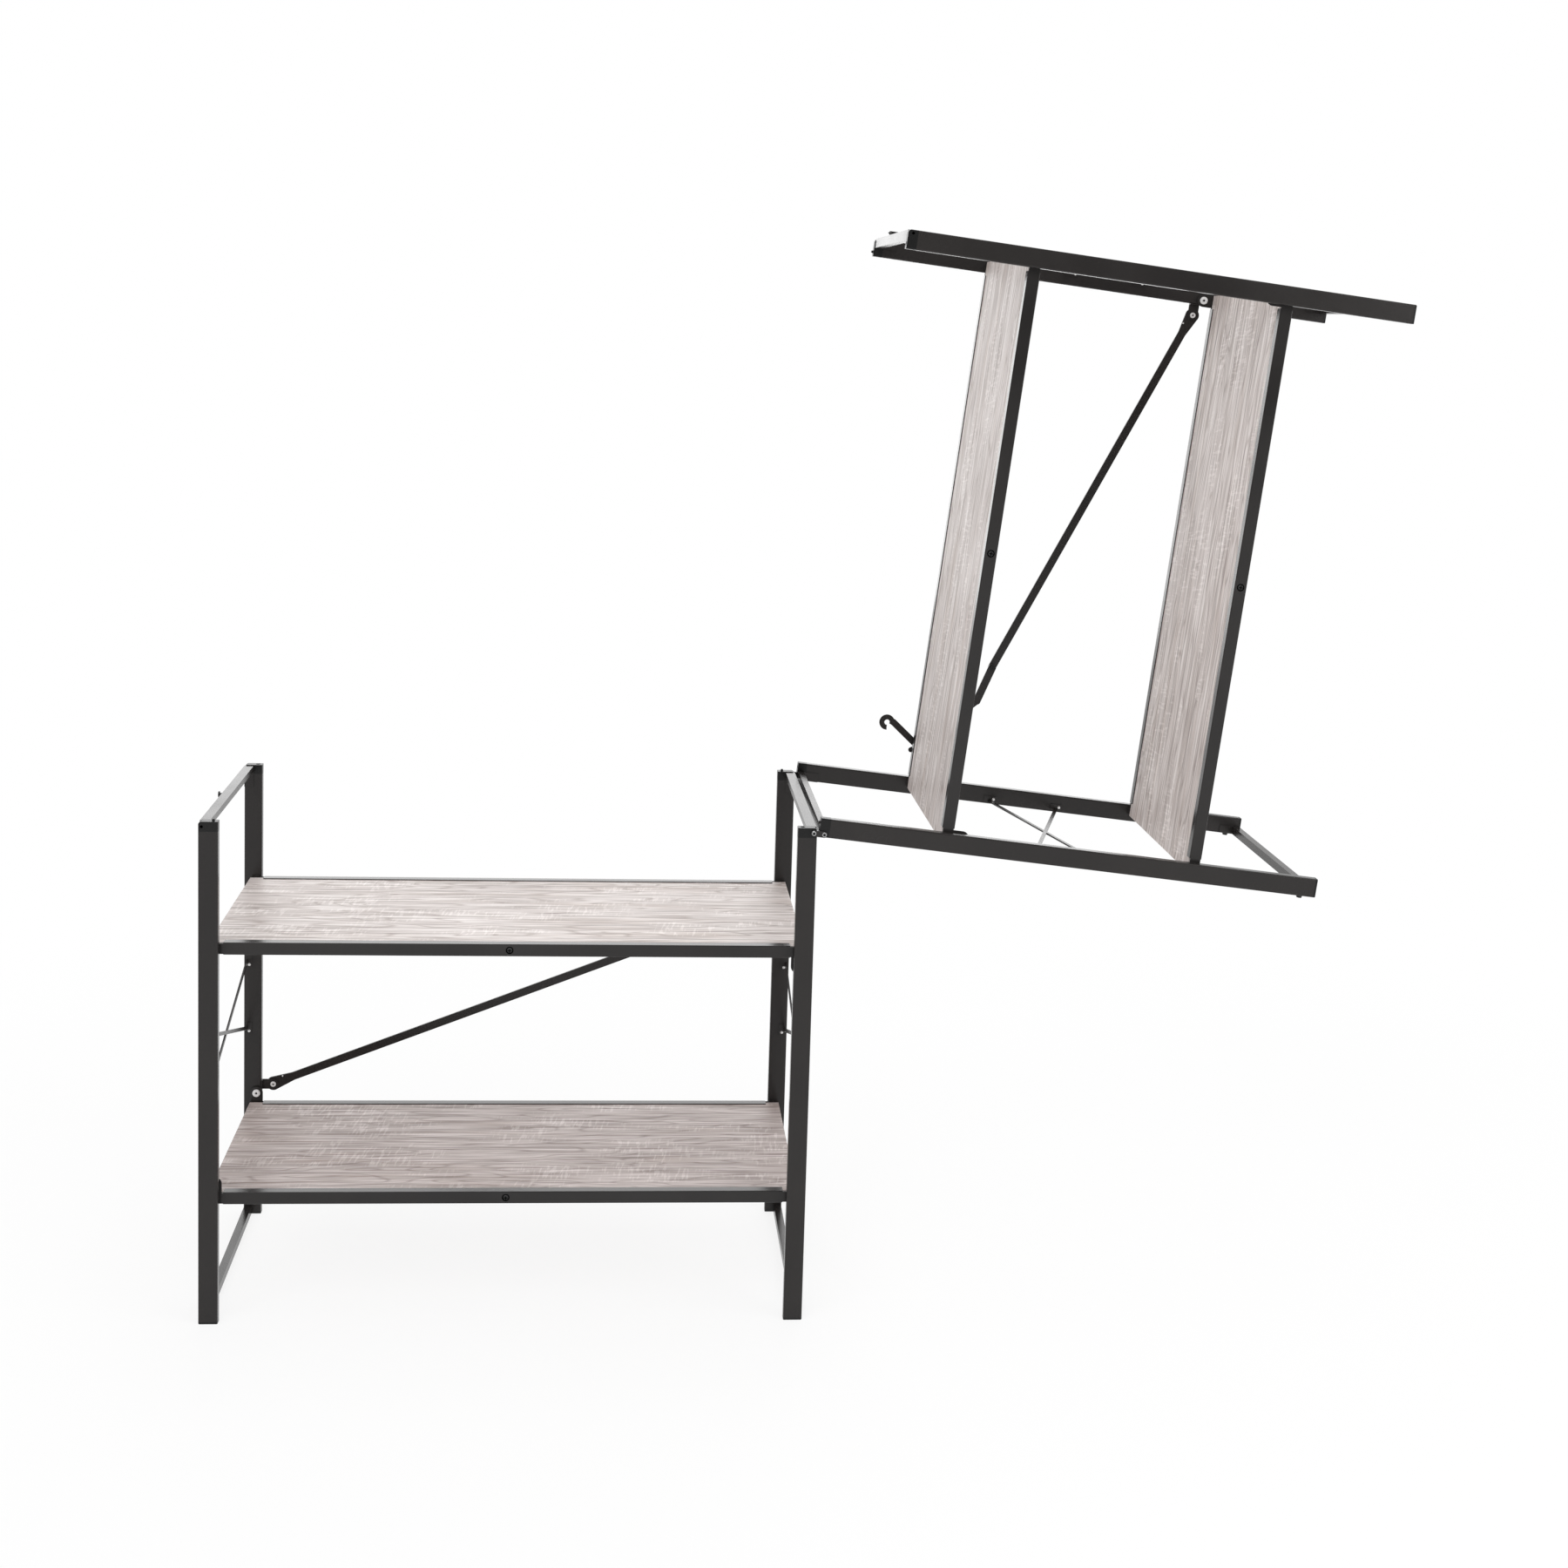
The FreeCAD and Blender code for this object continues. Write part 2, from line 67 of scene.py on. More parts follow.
# Hollow ends of the rivets, drawn as black discs of painted shade
PLUG_DEPTH = 0.2 * MM
PIVOT_INSET = 17.0 * MM
PIVOT_HEAD_FACE = 16.4 * MM
PIVOT_HEIGHTS = {"left": (169.5 * MM, 459.5 * MM), "right": (151.5 * MM, 441.5 * MM)}
# Radius of the black disc of painted shade on each shelf rivet
PIVOT_SHADE_RADIUS = 1.5 * MM
BRACE_RIVET_FACE = 322.1 * MM
# Radius of the black disc of painted shade in the start rivet's hollow
BRACE_RIVET_SHADE_RADIUS = 1.2 * MM
BRACE_RIVET_HEAD = 3.6 * MM
BRACE_FACE = 325.2 * MM
HOOK_RIVET_MIDDLE = 322.3 * MM
HOOK_RIVET_COVER = 1.3 * MM
CRIMP_ALONG = 15.0 * MM
CRIMP_ABOVE = 5.4 * MM
CRIMP_RADIUS = 1.1 * MM
HINGE_FACE = 3.4 * MM
HINGE_SEAT = 2.2 * MM
HINGE_HEAD = 3.1 * MM
HINGE_CROWN = 2.5 * MM
HINGE_HOLLOW = 1.75 * MM
HINGE_DEPTH = 1.0 * MM
HINGE_SHANK = 1.75 * MM
HINGE_END = 9.0 * MM

# Where a noise value gives the first and the second tone
TONE_STOPS = (0.3, 0.7)

# Charcoal coats: dark and light tone and low and high roughness of each, and what both share:
# mirror strength, noise scales, and strength and height of the bump
FRAME_COAT = (((0.018, 0.0160, 0.0155), (0.024, 0.0215, 0.0205)), (0.20, 0.28))
RAIL_COAT = (((0.018, 0.0165, 0.0160), (0.025, 0.0230, 0.0225)), (0.15, 0.22))
COAT_SPECULAR = 0.3
COAT_PATCHES = 9.0
COAT_PEEL = 900.0
COAT_BUMP = (0.12, 0.0004)

# Moulded plastic of the end caps
CAP_GREYS = (0.004, 0.007)
CAP_ROUGHNESS = 0.34
CAP_PATCHES = 40.0
CAP_GRAIN = 1500.0
CAP_BUMP = (0.1, 0.0002)

# Plain finishes: material, noise scale, dark and light grey, low and high roughness, fixed values
SCREW_SPECULAR = 0.12
SCREW_GREYS = (0.002, 0.004)
PAN_VALUES = {"Specular IOR Level": SCREW_SPECULAR, "Roughness": 0.22}
SLOT_VALUES = {"Specular IOR Level": SCREW_SPECULAR, "Roughness": 0.9}
PLAIN_FINISHES = {
    "zinc": ("bright_zinc_rivet", 300.0, (0.80, 0.92), (0.24, 0.36), {"Metallic": 0.4}),
    "hinge_zinc": ("dark_zinc_hinge", 300.0, (0.46, 0.64), (0.24, 0.36), {"Metallic": 1.0}),
    "black_screw": ("black_screw_steel", 300.0, (0.010, 0.018), (0.28, 0.40), {}),
    "pan": ("black_pan_head", 400.0, SCREW_GREYS, None, PAN_VALUES),
    # Painted shade: the cross slots of the pan heads as matt black with little mirror
    "recess_shade": ("black_cross_slot", 400.0, SCREW_GREYS, None, SLOT_VALUES),
    "rubber": ("black_bumper_rubber", 60.0, (0.012, 0.020), None, {"Roughness": 0.75}),
}

# Dark, middle and light tone of the printed oak grain, and where the grain gives them
OAK_TONE = ((0.43, 0.38, 0.36), (0.665, 0.607, 0.583), (0.805, 0.757, 0.738))
# The bottom board's tones are darker: painted shade, as that board gets less light under the second shelf
SHADED_BOTTOM_OAK_TONE = ((0.325, 0.27, 0.252), (0.515, 0.447, 0.427), (0.675, 0.605, 0.59))
GRAIN_STOPS = (0.36, 0.5, 0.63)
OAK_ROUGHNESS = (0.58, 0.46)
OAK_BUMP = (0.15, 0.0006)

# Layers of the print: stretch along, across and through the board, noise scale and its values
GRAIN = ((0.9, 28.0, 28.0), 9.0, {"detail": 6.0, "roughness": 0.62, "distortion": 0.15})
FIBRE = ((1.1, 34.0, 34.0), 13.0, {"detail": 3.0, "roughness": 0.6})
STAIN = ((0.7, 7.0, 7.0), 6.0, {"detail": 3.0, "distortion": 0.5})
VEIN = ((0.8, 6.0, 6.0), 3.2, {"detail": 2.0, "distortion": 0.2})
VEIN_FOLDS = 30.0
FLECK = ((6.0, 0.8, 0.8), 50.0, {"detail": 1.0})
FLECK_PATCH = ((1.0, 2.5, 2.5), 9.0, {"detail": 2.0})

# How a layer tints the print: full and no tint at these noise values, its tone and its share
FIBRE_TINT = (0.38, 0.56, (0.68, 0.64, 0.63), 0.85)
VEIN_TINT = (0.0, 0.34, (0.62, 0.57, 0.55), 0.85)
STAIN_TINT = (0.30, 0.46, (0.76, 0.69, 0.64), 0.6)

# Pale flecks: slant, brightness, and where their noise and the noise of their patches set in
FLECK_SLANT = 0.12
FLECK_TONE = 0.11
FLECK_STOPS = (0.54, 0.62)
FLECK_PATCH_STOPS = (0.50, 0.60)

# Pan heads of the shelf screws
PAN_RADIUS = 4.6 * MM
PAN_HEIGHT = 1.4 * MM
# Flat black crosses laid on the heads stand for the shade in their cross slots: painted shade
CROSS_LENGTH = 4.6 * MM
CROSS_WIDTH = 1.3 * MM
CROSS_SKIN = 0.08 * MM
RAIL_FACE = 13.5 * MM
LOW_RAIL = 151.5 * MM
HIGH_RAIL = 459.5 * MM

# Outline of a brace hook, along it from its rivet and below it, with the half width of each arm
HOOK_LENGTH = 160.0 * MM
HOOK_REST = {"lower": math.radians(8.0), "upper": math.radians(33.7)}
HOOK_PLATE = (323.0 * MM, 325.0 * MM)
HOOK_EYE = (0.0, 0.0)
HOOK_BEND = (39.0 * MM, 31.0 * MM)
HOOK_KNEE = (137.6 * MM, 50.0 * MM)
HOOK_LOBE = (152.4 * MM, 4.0 * MM)
HOOK_BLADE = (148.5 * MM, 49.0 * MM)
HOOK_ARMS = ((HOOK_EYE, HOOK_BEND, 5.3 * MM), (HOOK_BEND, HOOK_KNEE, 4.6 * MM))
HOOK_ARMS += ((HOOK_KNEE, HOOK_LOBE, 4.5 * MM), (HOOK_KNEE, HOOK_BLADE, 3.4 * MM))
HOOK_RING = (3.6 * MM, 10.4 * MM)
HOOK_MOUTH = math.radians(31)
PLATE_STEP = 0.02 * MM

# Studio lights: place, target, size in metres and power in watts
LIGHTS = {
    "key": ((-1.8, -2.6, 3.2), (0.0, 0.0, 0.7), 2.4, 50),
    "fill": ((2.8, -2.2, 2.0), (0.2, 0.0, 0.7), 2.6, 56),
    "top": ((0.2, 0.4, 3.6), (0.1, 0.0, 0.6), 2.4, 20),
    "rear": ((0.0, 3.6, 2.0), (0.0, 0.0, 0.8), 3.2, 44),
}

# Room seen in the gloss: its fill, and how dark it is towards the viewer
WORLD_FILL = 0.55
ROOM_SHADE = 0.2
ROOM_EDGES = (-0.6, 0.1)

# Floor: half size, tone, roughness, where it fades to white and how white it is near the rack
FLOOR_REACH = 12
FLOOR_TONE = 0.92
FLOOR_ROUGHNESS = 0.9
FLOOR_FADE = (0.7, 2.0)
FLOOR_WHITE = 0.85

# The photograph's viewpoint, in metres, radians and pixels of its 1800 px frame
IMAGE_PX = 1800
SENSOR_MM = 36.0
VIEW_REACH = 60.0
CAMERA_PLACE = (-0.238, -2.6425, 1.2173)
CAMERA_ANGLES = (0.0796, -0.1089, 0.0295)
CAMERA_FOCAL_PX = 2438
CAMERA_SHIFT = (0.005, -0.147)

# Sizes of one unit, read off the standing unit's posts
left_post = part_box("lower_left_front_post")
right_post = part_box("lower_right_front_post")
rear_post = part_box("lower_left_rear_post")
unit_left = left_post[0][0]
unit_front = left_post[0][1]
unit_width = right_post[1][0] - unit_left
unit_depth = rear_post[1][1] - unit_front
unit_height = left_post[0][2] + left_post[1][2]

# The hinge's two rivets give the swing of the upper unit
low_rivet = Vector(joints["hinge_lower_rivet_turn"]["pos_m"])
high_rivet = Vector(joints["hinge_upper_rivet_turn"]["pos_m"])
link = high_rivet - low_rivet
swing = math.atan2(link.x, link.z)
rivet_drop = unit_height - low_rivet.z
mating_gap = link.length - 2 * rivet_drop

LOWER = Matrix.Translation((unit_left, unit_front, 0))
FLIP = Matrix.Translation((0, 0, 2 * unit_height + mating_gap)) @ Matrix.Scale(-1, 4, (0, 0, 1))
TURN = Matrix.Translation(low_rivet) @ Matrix.Rotation(swing, 4, "Y") @ Matrix.Translation(-low_rivet)
UPPER = TURN @ LOWER @ FLIP
PLACES = {"lower": LOWER, "upper": UPPER}
SHELF_PLACES = {
    "bottom_shelf": ("lower", LOW_RAIL),
    "second_shelf": ("lower", HIGH_RAIL),
    "third_shelf": ("upper", HIGH_RAIL),
    "top_shelf": ("upper", LOW_RAIL),
}


def tree_of(name):
    """A new material with its node tree and its shader."""
    material = bpy.data.materials.new(name)
    material.use_nodes = True
    tree = material.node_tree
    shader = tree.nodes["Principled BSDF"]
    return material, tree, shader


def coordinates(tree, scale=(1, 1, 1), turn=0.0, slant=0.0):
    """The object's own coordinates, turned about Y, slanted about Z and stretched."""
    source = tree.nodes.new("ShaderNodeTexCoord")
    turned = tree.nodes.new("ShaderNodeMapping")
    turned.inputs["Rotation"].default_value = (0, turn, slant)
    tree.links.new(source.outputs["Object"], turned.inputs["Vector"])
    stretched = tree.nodes.new("ShaderNodeMapping")
    stretched.inputs["Scale"].default_value = scale
    tree.links.new(turned.outputs["Vector"], stretched.inputs["Vector"])
    return stretched.outputs["Vector"]


def noise(tree, vector, scale, detail=4.0, roughness=0.5, distortion=0.0):
    """The value of a noise at a place."""
    node = tree.nodes.new("ShaderNodeTexNoise")
    node.inputs["Scale"].default_value = scale
    node.inputs["Detail"].default_value = detail
    node.inputs["Roughness"].default_value = roughness
    node.inputs["Distortion"].default_value = distortion
    tree.links.new(vector, node.inputs["Vector"])
    return node.outputs["Fac"]


def ramp(tree, value, stops):
    """The colour that a value has on a ramp with these stops."""
    node = tree.nodes.new("ShaderNodeValToRGB")
    elements = node.color_ramp.elements
    while len(elements) < len(stops):
        elements.new(0.5)
    for element, (place, colour) in zip(elements, stops):
        element.position = place
        element.color = (*colour, 1)
    tree.links.new(value, node.inputs["Fac"])
    return node.outputs["Color"]


def map_range(tree, value, low, high, first, last):
    """Carries a value from one range over to another."""
    node = tree.nodes.new("ShaderNodeMapRange")
    node.inputs["From Min"].default_value = low
    node.inputs["From Max"].default_value = high
    node.inputs["To Min"].default_value = first
    node.inputs["To Max"].default_value = last
    tree.links.new(value, node.inputs["Value"])
    return node.outputs["Result"]


def blend_colours(tree, kind, share, first, second):
    """Lays the second colour over the first one, with a fixed or a changing share."""
    node = tree.nodes.new("ShaderNodeMix")
    node.data_type = "RGBA"
    node.blend_type = kind
    if isinstance(share, float):
        node.inputs["Factor"].default_value = share
    else:
        tree.links.new(share, node.inputs["Factor"])
    tree.links.new(first, node.inputs["A"])
    tree.links.new(second, node.inputs["B"])
    return node.outputs["Result"]


def fine_bump(tree, shader, height, strength, distance):
    """Gives the surface a fine relief."""
    node = tree.nodes.new("ShaderNodeBump")
    node.inputs["Strength"].default_value = strength
    node.inputs["Distance"].default_value = distance
    tree.links.new(height, node.inputs["Height"])
    tree.links.new(node.outputs["Normal"], shader.inputs["Normal"])


def grey(value):
    """The colour of one grey value."""
    return (value, value, value)


def two_tones(tree, value, tones, socket):
    """Drives a socket from one tone to another by a noise value."""
    tree.links.new(ramp(tree, value, list(zip(TONE_STOPS, tones))), socket)


def two_greys(tree, value, greys, socket):
    """Drives a socket from one grey or roughness to another by a noise value."""
    two_tones(tree, value, [grey(tone) for tone in greys], socket)


def powder_coat(name, tones, gloss):
    """Charcoal coating with a faint orange-peel surface."""
    material, tree, shader = tree_of(name)
    vector = coordinates(tree)
    patches = noise(tree, vector, COAT_PATCHES)
    two_tones(tree, patches, tones, shader.inputs["Base Color"])
    two_greys(tree, patches, gloss, shader.inputs["Roughness"])
    shader.inputs["Specular IOR Level"].default_value = COAT_SPECULAR
    fine_bump(tree, shader, noise(tree, vector, COAT_PEEL, detail=2.0), *COAT_BUMP)
    return material


def folded(tree, value, times):
    """Folds a smooth value over and over into thin, wavy bands."""
    scaled = tree.nodes.new("ShaderNodeMath")
    scaled.operation = "MULTIPLY"
    scaled.inputs[1].default_value = times
    tree.links.new(value, scaled.inputs[0])
    fold = tree.nodes.new("ShaderNodeMath")
    fold.operation = "PINGPONG"
    fold.inputs[1].default_value = 1.0
    tree.links.new(scaled.outputs["Value"], fold.inputs[0])
    return fold.outputs["Value"]


def print_layer(tree, layer, turn, slant=0.0):
    """The noise of one layer of the print."""
    stretch, scale, values = layer
    return noise(tree, coordinates(tree, stretch, turn, slant), scale, **values)


def tinted(tree, colour, layer, tint):
    """A colour with the tone of a layer laid over it."""
    full, clear, tone, share = tint
    marks = ramp(tree, layer, [(full, tone), (clear, grey(1.0))])
    return blend_colours(tree, "MULTIPLY", share, colour, marks)


def oak_print(name, turn, tones):
    """Grey-beige oak print: long grain, wavy veins, brownish stains and pale slanted flecks."""
    material, tree, shader = tree_of(name)
    grain = print_layer(tree, GRAIN, turn)
    fibre = print_layer(tree, FIBRE, turn)
    stain = print_layer(tree, STAIN, turn)
    vein = folded(tree, print_layer(tree, VEIN, turn), VEIN_FOLDS)
    fleck = print_layer(tree, FLECK, turn, FLECK_SLANT)
    patch = print_layer(tree, FLECK_PATCH, turn)
    base = ramp(tree, grain, list(zip(GRAIN_STOPS, tones)))
    streaked = tinted(tree, base, fibre, FIBRE_TINT)
    veined = tinted(tree, streaked, vein, VEIN_TINT)
    stained = tinted(tree, veined, stain, STAIN_TINT)
    flecks = ramp(tree, fleck, list(zip(FLECK_STOPS, (grey(0.0), grey(FLECK_TONE)))))
    patches = ramp(tree, patch, list(zip(FLECK_PATCH_STOPS, (grey(0.0), grey(1.0)))))
    final = blend_colours(tree, "ADD", patches, stained, flecks)
    tree.links.new(final, shader.inputs["Base Color"])
    two_greys(tree, grain, OAK_ROUGHNESS, shader.inputs["Roughness"])
    fine_bump(tree, shader, fibre, *OAK_BUMP)
    return material


def cap_plastic():
    """Black moulded plastic of the end caps, with a fine grain."""
    material, tree, shader = tree_of("black_cap_plastic")
    vector = coordinates(tree)
    two_greys(tree, noise(tree, vector, CAP_PATCHES), CAP_GREYS, shader.inputs["Base Color"])
    shader.inputs["Specular IOR Level"].default_value = COAT_SPECULAR
    shader.inputs["Roughness"].default_value = CAP_ROUGHNESS
    fine_bump(tree, shader, noise(tree, vector, CAP_GRAIN), *CAP_BUMP)
    return material


def plain_finish(name, scale, greys, gloss, values):
    """A grey finish, whose gloss changes with its tone where it has two roughness values."""
    material, tree, shader = tree_of(name)
    marks = noise(tree, coordinates(tree), scale)
    two_greys(tree, marks, greys, shader.inputs["Base Color"])
    if gloss:
        two_greys(tree, marks, gloss, shader.inputs["Roughness"])
    for socket, value in values.items():
        shader.inputs[socket].default_value = value
    return material


def paint(piece, material):
    """Gives a piece this one material."""
    slots = piece.data.materials
    if not slots:
        slots.append(material)
    for place in range(len(slots)):
        slots[place] = material


def finish_solid(name, piece, finishes):
    """Gives a solid the finish that goes with its name."""
    # The bottom board takes the darker copy of the oak print, which is painted shade
    if name == "bottom_shelf_board":
        paint(piece, finishes["shaded_bottom_oak"])
    elif name.endswith("_board"):
        is_upper = name.startswith(("third", "top"))
        paint(piece, finishes["upper_oak" if is_upper else "lower_oak"])
    elif name.endswith("end_caps"):
        paint(piece, finishes["cap"])
    elif name == "bumpers":
        paint(piece, finishes["rubber"])
    elif name.endswith("_rail"):
        paint(piece, finishes["rail"])
    elif name.endswith(("rail_screws", "latch_rivet", "latch_stud")):
        paint(piece, finishes["black_screw"])
    elif name.endswith("rivets"):
        paint(piece, finishes["zinc"])
    else:
        paint(piece, finishes["frame"])


def new_piece(name, mesh_maker, material, body):
    """Builds one new piece and lets it ride on its body."""
    bm = bmesh.new()
    mesh_maker(bm)
    bmesh.ops.recalc_face_normals(bm, faces=bm.faces)
    mesh = bpy.data.meshes.new(name)
    bm.to_mesh(mesh)
    bm.free()
    piece = bpy.data.objects.new(name, mesh)
    bpy.context.scene.collection.objects.link(piece)
    paint(piece, material)
    for face in mesh.polygons:
        face.use_smooth = True
    mesh.set_sharp_from_angle(angle=SHARP_ANGLE)
    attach(piece, body)
    return piece


def dome(bm, place, facing, radius, height):
    """A round screw head, flat side at the place, facing along +Y or -Y."""
    upright = Matrix.Rotation(math.radians(-90 * facing), 4, "X")
    before = set(bm.verts)
    ball = bmesh.ops.create_uvsphere(bm, u_segments=DOME_SEGMENTS, v_segments=DOME_RINGS, radius=radius)
    verts = ball["verts"]
    bmesh.ops.scale(bm, vec=(1, 1, height / radius), verts=verts)
    faces = list({face for vert in verts for face in vert.link_faces})
    edges = list({edge for vert in verts for edge in vert.link_edges})
    bmesh.ops.bisect_plane(
        bm,
        geom=verts + edges + faces,
        dist=CUT_TOLERANCE,
        plane_co=(0, 0, 0),
        plane_no=(0, 0, -1),
        clear_outer=True,
    )
    rim = [edge for edge in bm.edges if edge.is_boundary]
    bmesh.ops.holes_fill(bm, edges=rim, sides=0)
    half_ball = [vert for vert in bm.verts if vert not in before]
    bmesh.ops.transform(bm, matrix=place @ upright, verts=half_ball)


def strip_screws(unit, side):
    """The four small screws that hold the crossed strips to the posts."""
    across = PAD_MIDDLE if side == "left" else unit_width - PAD_MIDDLE

    def make(bm):
        for share in STRIP_SHARES:
            for depth, facing in ((PAD_FACE, 1), (unit_depth - PAD_FACE, -1)):
                spot = Matrix.Translation((across, depth, unit_height * share))
                dome(bm, PLACES[unit] @ spot, facing, SCREW_RADIUS, SCREW_HEIGHT)

    return make


def plug(bm, place, facing, radius):
    """A thin round plug with its face at the place, looking along +Y or -Y, and the rest behind it."""
    upright = Matrix.Rotation(math.radians(-90 * facing), 4, "X")
    bmesh.ops.create_cone(
        bm,
        cap_ends=True,
        segments=DOME_SEGMENTS,
        radius1=radius,
        radius2=radius,
        depth=PLUG_DEPTH,
        matrix=place @ upright @ Matrix.Translation((0, 0, -PLUG_DEPTH / 2)),
    )


def pivot_hollow_shades(unit, side):
    """Black discs on the four shelf rivets of one end frame: painted shade of their hollow ends."""
    across = PIVOT_INSET if side == "left" else unit_width - PIVOT_INSET

    def make(bm):
        for height in PIVOT_HEIGHTS[side]:
            for depth, facing in ((PIVOT_HEAD_FACE + SKIN, 1), (unit_depth - PIVOT_HEAD_FACE - SKIN, -1)):
                spot = Matrix.Translation((across, depth, height))
                plug(bm, PLACES[unit] @ spot, facing, PIVOT_SHADE_RADIUS)

    return make


def brace_spot(unit, joint_name, depth):
    """The place of a brace rivet on the given depth of its unit."""
    spot = Vector(joints[joint_name]["pos_m"])
    return Matrix.Translation((spot.x, unit_front + depth, spot.z))


def brace_rivet_ends(unit):
    """A black disc on the start rivet as painted shade of its small hollow, and the blackened head of the
    hook rivet.
    """

    def make(bm):
        start = brace_spot(unit, unit + "_brace_turn", BRACE_RIVET_FACE - SKIN)
        plug(bm, start, -1, BRACE_RIVET_SHADE_RADIUS)
        middle = brace_spot(unit, unit + "_brace_hook_turn", HOOK_RIVET_MIDDLE)
        bmesh.ops.create_cone(
            bm,
            cap_ends=True,
            segments=ROUND_STEPS,
            radius1=BRACE_RIVET_HEAD + SKIN,
            radius2=BRACE_RIVET_HEAD + SKIN,
            depth=HOOK_RIVET_COVER,
            matrix=middle @ Matrix.Rotation(math.radians(90), 4, "X"),
        )

    return make


def round_bar(bm, place, length, half, thickness):
    """A flat bar with round ends, from the place along its X."""
    outline = bmesh.ops.create_circle(bm, cap_ends=True, segments=ROUND_STEPS, radius=half)["verts"]
    far = [vert for vert in outline if vert.co.x > SKIN]
    bmesh.ops.translate(bm, vec=(length, 0, -thickness / 2), verts=far)
    bmesh.ops.translate(bm, vec=(0, 0, -thickness / 2), verts=[vert for vert in outline if vert not in far])
    face = next(iter({face for vert in outline for face in vert.link_faces}))
    raised = bmesh.ops.extrude_face_region(bm, geom=[face], use_keep_orig=True)["geom"]
    top = [item for item in raised if isinstance(item, bmesh.types.BMVert)]
    bmesh.ops.translate(bm, vec=(0, 0, thickness), verts=top)
    bmesh.ops.transform(bm, matrix=place, verts=outline + top)


def hook_plate(unit):
    """A flat brace hook: bent arms with round ends, a pointed blade and an open ring at the end."""

    def make(bm):
        start = Vector(joints[unit + "_brace_turn"]["pos_m"])
        eye = Vector(joints[unit + "_brace_hook_turn"]["pos_m"])
        run = Vector((eye.x - start.x, 0, eye.z - start.z)).normalized()
        fall = Vector((run.z, 0, -run.x)) if unit == "lower" else Vector((-run.z, 0, run.x))
        rest = HOOK_REST[unit]
        along = run * math.cos(rest) - fall * math.sin(rest)
        below = fall * math.cos(rest) + run * math.sin(rest)
        front, rear = HOOK_PLATE
        axes = Matrix((along, below, along.cross(below))).transposed().to_4x4()
        origin = Matrix.Translation((eye.x, unit_front + (front + rear) / 2, eye.z)) @ axes
        for order, (first, last, half) in enumerate(HOOK_ARMS):
            run_across = Vector((last[0] - first[0], last[1] - first[1], 0))
            turn = math.atan2(run_across.y, run_across.x)
            place = origin @ Matrix.Translation((*first, 0)) @ Matrix.Rotation(turn, 4, "Z")
            round_bar(bm, place, run_across.length, half, rear - front - order * PLATE_STEP)
        thickness = rear - front - len(HOOK_ARMS) * PLATE_STEP
        inner, outer = HOOK_RING
        low, high = -thickness / 2, thickness / 2
        corners = [(inner, low), (outer, low), (outer, high), (inner, high)]
        facing = Matrix.Rotation(math.radians(90) + HOOK_MOUTH, 4, "Z")
        verts = [bm.verts.new(facing @ Vector((radius, 0, height))) for radius, height in corners]
        before = {vert for vert in bm.verts if vert not in verts}
        face = bm.faces.new(verts)
        bmesh.ops.spin(
            bm,
            geom=[face],
            cent=(0, 0, 0),
            axis=(0, 0, 1),
            angle=math.tau - 2 * HOOK_MOUTH,
            steps=ROUND_STEPS,
        )
        rim = [edge for edge in bm.edges if edge.is_boundary]
        bmesh.ops.holes_fill(bm, edges=rim, sides=4)
        ring = [vert for vert in bm.verts if vert not in before]
        bmesh.ops.transform(bm, matrix=origin @ Matrix.Translation((HOOK_LENGTH, 0, 0)), verts=ring)

    return make


def pan_heads(unit, height):
    """The two round screw heads in the middle of a shelf's rails."""

    def make(bm):
        for depth, facing in ((RAIL_FACE, 1), (unit_depth - RAIL_FACE, -1)):
            spot = Matrix.Translation((unit_width / 2, depth, height))
            dome(bm, PLACES[unit] @ spot, facing, PAN_RADIUS, PAN_HEIGHT)

    return make


def pan_cross_shades(unit, height):
    """Flat black crosses on those two screw heads: painted shade of their cross slots."""

    def make(bm):
        for depth in (RAIL_FACE - PAN_HEIGHT, unit_depth - RAIL_FACE + PAN_HEIGHT):
            for width, tall in ((CROSS_LENGTH, CROSS_WIDTH), (CROSS_WIDTH, CROSS_LENGTH)):
                spot = Matrix.Translation((unit_width / 2, depth, height))
                size = Matrix.Diagonal((width, CROSS_SKIN, tall, 1))
                bmesh.ops.create_cube(bm, size=1.0, matrix=PLACES[unit] @ spot @ size)

    return make


def crimp_dimple(unit):
    """The bright punch mark beside the flattened end of a brace."""

    def make(bm):
        start = joints[unit + "_brace_turn"]["pos_m"]
        hook = joints[unit + "_brace_hook_turn"]["pos_m"]
        run = Vector((hook[0] - start[0], 0, hook[2] - start[2])).normalized()
        side = Vector((-run.z, 0, run.x)) if unit == "lower" else Vector((run.z, 0, -run.x))
        spot = Vector((start[0], unit_front + BRACE_FACE - SKIN, start[2]))
        spot += run * CRIMP_ALONG + side * CRIMP_ABOVE
        dome(bm, Matrix.Translation(spot), -1, CRIMP_RADIUS, CRIMP_RADIUS / 2)

    return make


